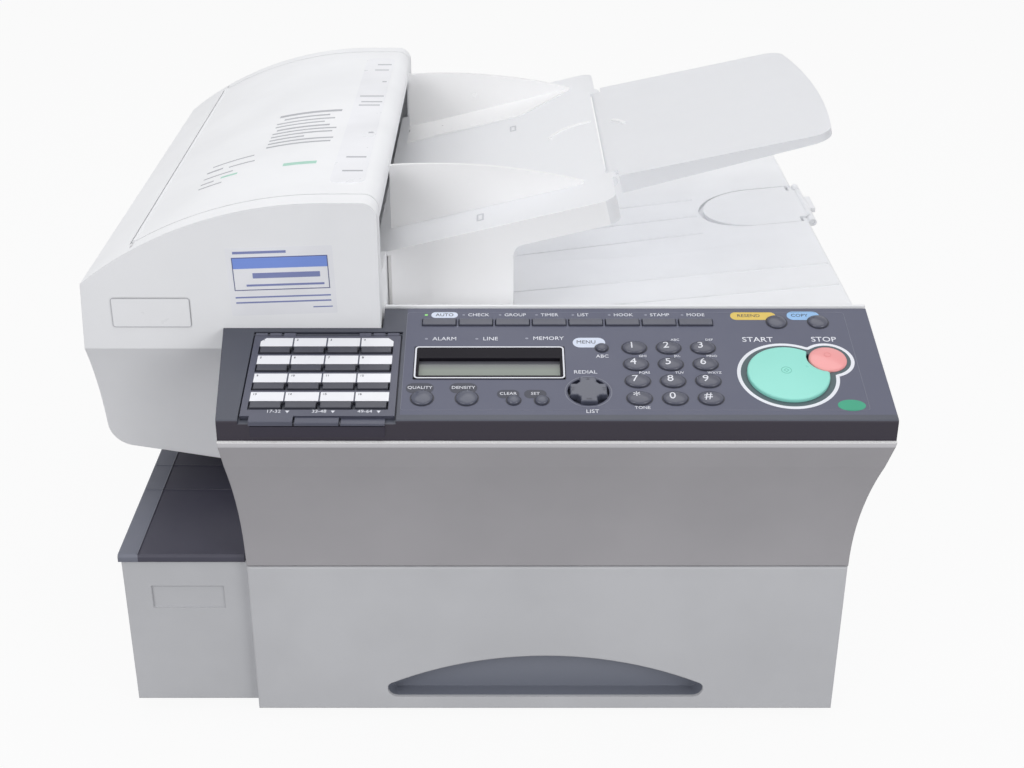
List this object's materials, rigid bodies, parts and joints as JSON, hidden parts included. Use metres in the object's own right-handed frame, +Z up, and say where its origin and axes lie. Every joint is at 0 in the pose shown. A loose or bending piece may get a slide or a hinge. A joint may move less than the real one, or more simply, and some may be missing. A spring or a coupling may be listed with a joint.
{
  "type": "fax machine",
  "caption": "Desktop fax machine with a sliding paper cassette, sloped control panel, arched sheet-feed scanner tower, frosted document tray and a sloped output tray on top.",
  "frame": {"origin": "middle of the footprint's bounding box, on the table", "axes": "+X to the machine's right as its user sees it, +Y to the back, +Z up"},
  "size_m": [0.4596, 0.4314, 0.3179],
  "materials": {
    "shell_white": "fine moulded texture",
    "cover_grey": "satin",
    "drawer_grey": "satin",
    "panel_slate": "satin",
    "lid_slate": "satin",
    "frosted": "frosted translucent",
    "clear_window": "clear",
    "lcd": "liquid crystal",
    "leaf": "printed film",
    "key_grey": "satin",
    "key_mint": "satin",
    "key_red": "satin",
    "board_green": "solder mask",
    "steel": "zinc plated",
    "rubber": "matt",
    "drum_green": "coated",
    "black_plastic": "matt"
  },
  "bodies": {
    "machine": {"base_frame": "shell_white", "main_housing": "shell_white", "front_cover": "cover_grey", "top_cover": "shell_white", "exit_cover": "shell_white", "scanner_housing": "shell_white", "document_tray": "frosted", "control_panel": "panel_slate", "display_window": "clear_window", "display_module": "lcd", "circuit_boards": "board_green", "rubber_feet": "rubber", "housing_screws": "steel", "rear_sockets": "black_plastic", "engine_side_plates": "steel", "toner_cartridge": "black_plastic", "laser_unit": "black_plastic", "drive_motor": "steel", "image_sensor": "black_plastic"},
    "cassette": {"cassette_tray": "drawer_grey", "cassette_front": "drawer_grey", "cassette_cover": "lid_slate"},
    "lift_plate": {"lift_plate": "steel"},
    "feed_cover": {"adf_cover": "shell_white"},
    "tray_extension": {"tray_extension": "frosted"},
    "guide_front": {"document_guide_front": "frosted"},
    "guide_rear": {"document_guide_rear": "frosted"},
    "output_stopper": {"output_stopper": "shell_white"},
    "flip_page_3": {"flip_page_3": "leaf"},
    "flip_page_2": {"flip_page_2": "leaf"},
    "flip_page_1": {"flip_page_1": "leaf"},
    "drum": {"drum": "drum_green"},
    "heat_roller": {"heat_roller": "black_plastic"},
    "pressure_roller": {"pressure_roller": "rubber"},
    "pickup_roller": {"pickup_roller": "rubber"},
    "feed_roller": {"adf_feed_roller": "rubber"},
    "start_key": {"start_key": "key_mint"},
    "stop_key": {"stop_key": "key_red"},
    "copy_key": {"copy_key": "key_grey"},
    "resend_key": {"resend_key": "key_grey"},
    "menu_key": {"menu_key": "key_grey"},
    "quality_key": {"quality_key": "key_grey"},
    "contrast_key": {"contrast_key": "key_grey"},
    "clear_key": {"clear_key": "key_grey"},
    "enter_key": {"enter_key": "key_grey"},
    "navigation_pad": {"navigation_pad": "key_grey"},
    "one_touch_keys": {"one_touch_keys": "key_grey"},
    "function_keys": {"function_keys": "key_grey"},
    "key_1": {"key_1": "key_grey"},
    "key_2": {"key_2": "key_grey"},
    "key_3": {"key_3": "key_grey"},
    "key_4": {"key_4": "key_grey"},
    "key_5": {"key_5": "key_grey"},
    "key_6": {"key_6": "key_grey"},
    "key_7": {"key_7": "key_grey"},
    "key_8": {"key_8": "key_grey"},
    "key_9": {"key_9": "key_grey"},
    "key_star": {"key_star": "key_grey"},
    "key_0": {"key_0": "key_grey"},
    "key_hash": {"key_hash": "key_grey"}
  },
  "joints": [
    {"name": "cassette_slide", "type": "slide", "parent": "machine", "child": "cassette", "axis": [0, -1, 0], "range_m": [0, 0.24]},
    {"name": "feed_cover_hinge", "type": "hinge", "parent": "machine", "child": "feed_cover", "pos_m": [-0.19775, 0.04125, 0.27412], "axis": [0, -1, 0], "range_deg": [0, 65]},
    {"name": "extension_fold", "type": "hinge", "parent": "machine", "child": "tray_extension", "pos_m": [0.07825, 0.05575, 0.28548], "axis": [0, -1, 0], "range_deg": [0, 100]},
    {"name": "guide_front_slide", "type": "slide", "parent": "machine", "child": "guide_front", "axis": [0, 1, 0], "range_m": [0, 0.04]},
    {"name": "guide_rear_slide", "type": "slide", "parent": "machine", "child": "guide_rear", "axis": [0, -1, 0], "range_m": [0, 0.04]},
    {"name": "stopper_hinge", "type": "hinge", "parent": "machine", "child": "output_stopper", "pos_m": [0.22375, 0.08975, 0.2235], "axis": [0, 1, 0], "range_deg": [0, 95]},
    {"name": "page_3_flip", "type": "hinge", "parent": "machine", "child": "flip_page_3", "pos_m": [-0.08835, -0.14189, 0.22687], "axis": [-1, 0, 0], "range_deg": [0, 70]},
    {"name": "page_2_flip", "type": "hinge", "parent": "machine", "child": "flip_page_2", "pos_m": [-0.08835, -0.14189, 0.22687], "axis": [-1, 0, 0], "range_deg": [0, 70]},
    {"name": "page_1_flip", "type": "hinge", "parent": "machine", "child": "flip_page_1", "pos_m": [-0.08835, -0.14189, 0.22687], "axis": [-1, 0, 0], "range_deg": [0, 70]},
    {"name": "lift_plate_hinge", "type": "hinge", "parent": "cassette", "child": "lift_plate", "pos_m": [0.00075, -0.04625, 0.0144], "axis": [0, -1, 0], "range_deg": [0, 18]},
    {"name": "drum_spin", "type": "hinge", "parent": "machine", "child": "drum", "pos_m": [0.03625, 0.02975, 0.14], "axis": [0, 1, 0], "continuous": true},
    {"name": "heat_roller_spin", "type": "hinge", "parent": "machine", "child": "heat_roller", "pos_m": [-0.06875, 0.02975, 0.1564], "axis": [0, 1, 0], "continuous": true},
    {"name": "pressure_roller_spin", "type": "hinge", "parent": "machine", "child": "pressure_roller", "pos_m": [-0.06875, 0.02975, 0.128], "axis": [0, 1, 0], "continuous": true},
    {"name": "pickup_roller_spin", "type": "hinge", "parent": "machine", "child": "pickup_roller", "pos_m": [0.16625, 0.02975, 0.118], "axis": [0, 1, 0], "continuous": true},
    {"name": "feed_roller_spin", "type": "hinge", "parent": "machine", "child": "feed_roller", "pos_m": [-0.11375, 0.02975, 0.267], "axis": [0, 1, 0], "continuous": true},
    {"name": "start_key_press", "type": "slide", "parent": "machine", "child": "start_key", "axis": [0, 0.2419, -0.9703], "range_m": [0, 0.0012], "stiffness_N_per_m": 1000},
    {"name": "stop_key_press", "type": "slide", "parent": "machine", "child": "stop_key", "axis": [0, 0.2419, -0.9703], "range_m": [0, 0.0012], "stiffness_N_per_m": 1000},
    {"name": "copy_key_press", "type": "slide", "parent": "machine", "child": "copy_key", "axis": [0, 0.2419, -0.9703], "range_m": [0, 0.0012], "stiffness_N_per_m": 1000},
    {"name": "resend_key_press", "type": "slide", "parent": "machine", "child": "resend_key", "axis": [0, 0.2419, -0.9703], "range_m": [0, 0.0012], "stiffness_N_per_m": 1000},
    {"name": "menu_key_press", "type": "slide", "parent": "machine", "child": "menu_key", "axis": [0, 0.2419, -0.9703], "range_m": [0, 0.0012], "stiffness_N_per_m": 1000},
    {"name": "quality_key_press", "type": "slide", "parent": "machine", "child": "quality_key", "axis": [0, 0.2419, -0.9703], "range_m": [0, 0.0012], "stiffness_N_per_m": 1000},
    {"name": "contrast_key_press", "type": "slide", "parent": "machine", "child": "contrast_key", "axis": [0, 0.2419, -0.9703], "range_m": [0, 0.0012], "stiffness_N_per_m": 1000},
    {"name": "clear_key_press", "type": "slide", "parent": "machine", "child": "clear_key", "axis": [0, 0.2419, -0.9703], "range_m": [0, 0.0012], "stiffness_N_per_m": 1000},
    {"name": "enter_key_press", "type": "slide", "parent": "machine", "child": "enter_key", "axis": [0, 0.2419, -0.9703], "range_m": [0, 0.0012], "stiffness_N_per_m": 1000},
    {"name": "navigation_pad_press", "type": "slide", "parent": "machine", "child": "navigation_pad", "axis": [0, 0.2419, -0.9703], "range_m": [0, 0.0012], "stiffness_N_per_m": 1000},
    {"name": "one_touch_keys_press", "type": "slide", "parent": "machine", "child": "one_touch_keys", "axis": [0, 0.2419, -0.9703], "range_m": [0, 0.0012], "stiffness_N_per_m": 1000},
    {"name": "function_keys_press", "type": "slide", "parent": "machine", "child": "function_keys", "axis": [0, 0.2419, -0.9703], "range_m": [0, 0.0012], "stiffness_N_per_m": 1000},
    {"name": "key_1_press", "type": "slide", "parent": "machine", "child": "key_1", "axis": [0, 0.2419, -0.9703], "range_m": [0, 0.0012], "stiffness_N_per_m": 1000},
    {"name": "key_2_press", "type": "slide", "parent": "machine", "child": "key_2", "axis": [0, 0.2419, -0.9703], "range_m": [0, 0.0012], "stiffness_N_per_m": 1000},
    {"name": "key_3_press", "type": "slide", "parent": "machine", "child": "key_3", "axis": [0, 0.2419, -0.9703], "range_m": [0, 0.0012], "stiffness_N_per_m": 1000},
    {"name": "key_4_press", "type": "slide", "parent": "machine", "child": "key_4", "axis": [0, 0.2419, -0.9703], "range_m": [0, 0.0012], "stiffness_N_per_m": 1000},
    {"name": "key_5_press", "type": "slide", "parent": "machine", "child": "key_5", "axis": [0, 0.2419, -0.9703], "range_m": [0, 0.0012], "stiffness_N_per_m": 1000},
    {"name": "key_6_press", "type": "slide", "parent": "machine", "child": "key_6", "axis": [0, 0.2419, -0.9703], "range_m": [0, 0.0012], "stiffness_N_per_m": 1000},
    {"name": "key_7_press", "type": "slide", "parent": "machine", "child": "key_7", "axis": [0, 0.2419, -0.9703], "range_m": [0, 0.0012], "stiffness_N_per_m": 1000},
    {"name": "key_8_press", "type": "slide", "parent": "machine", "child": "key_8", "axis": [0, 0.2419, -0.9703], "range_m": [0, 0.0012], "stiffness_N_per_m": 1000},
    {"name": "key_9_press", "type": "slide", "parent": "machine", "child": "key_9", "axis": [0, 0.2419, -0.9703], "range_m": [0, 0.0012], "stiffness_N_per_m": 1000},
    {"name": "key_star_press", "type": "slide", "parent": "machine", "child": "key_star", "axis": [0, 0.2419, -0.9703], "range_m": [0, 0.0012], "stiffness_N_per_m": 1000},
    {"name": "key_0_press", "type": "slide", "parent": "machine", "child": "key_0", "axis": [0, 0.2419, -0.9703], "range_m": [0, 0.0012], "stiffness_N_per_m": 1000},
    {"name": "key_hash_press", "type": "slide", "parent": "machine", "child": "key_hash", "axis": [0, 0.2419, -0.9703], "range_m": [0, 0.0012], "stiffness_N_per_m": 1000}
  ],
  "couplings": [
    {"joint": "guide_rear_slide", "follows": "guide_front_slide", "ratio": 1},
    {"joint": "page_2_flip", "follows": "page_3_flip", "ratio": 0.95},
    {"joint": "page_1_flip", "follows": "page_3_flip", "ratio": 0.9},
    {"joint": "heat_roller_spin", "follows": "drum_spin", "ratio": 1.0714},
    {"joint": "pressure_roller_spin", "follows": "drum_spin", "ratio": -1.0714}
  ]
}
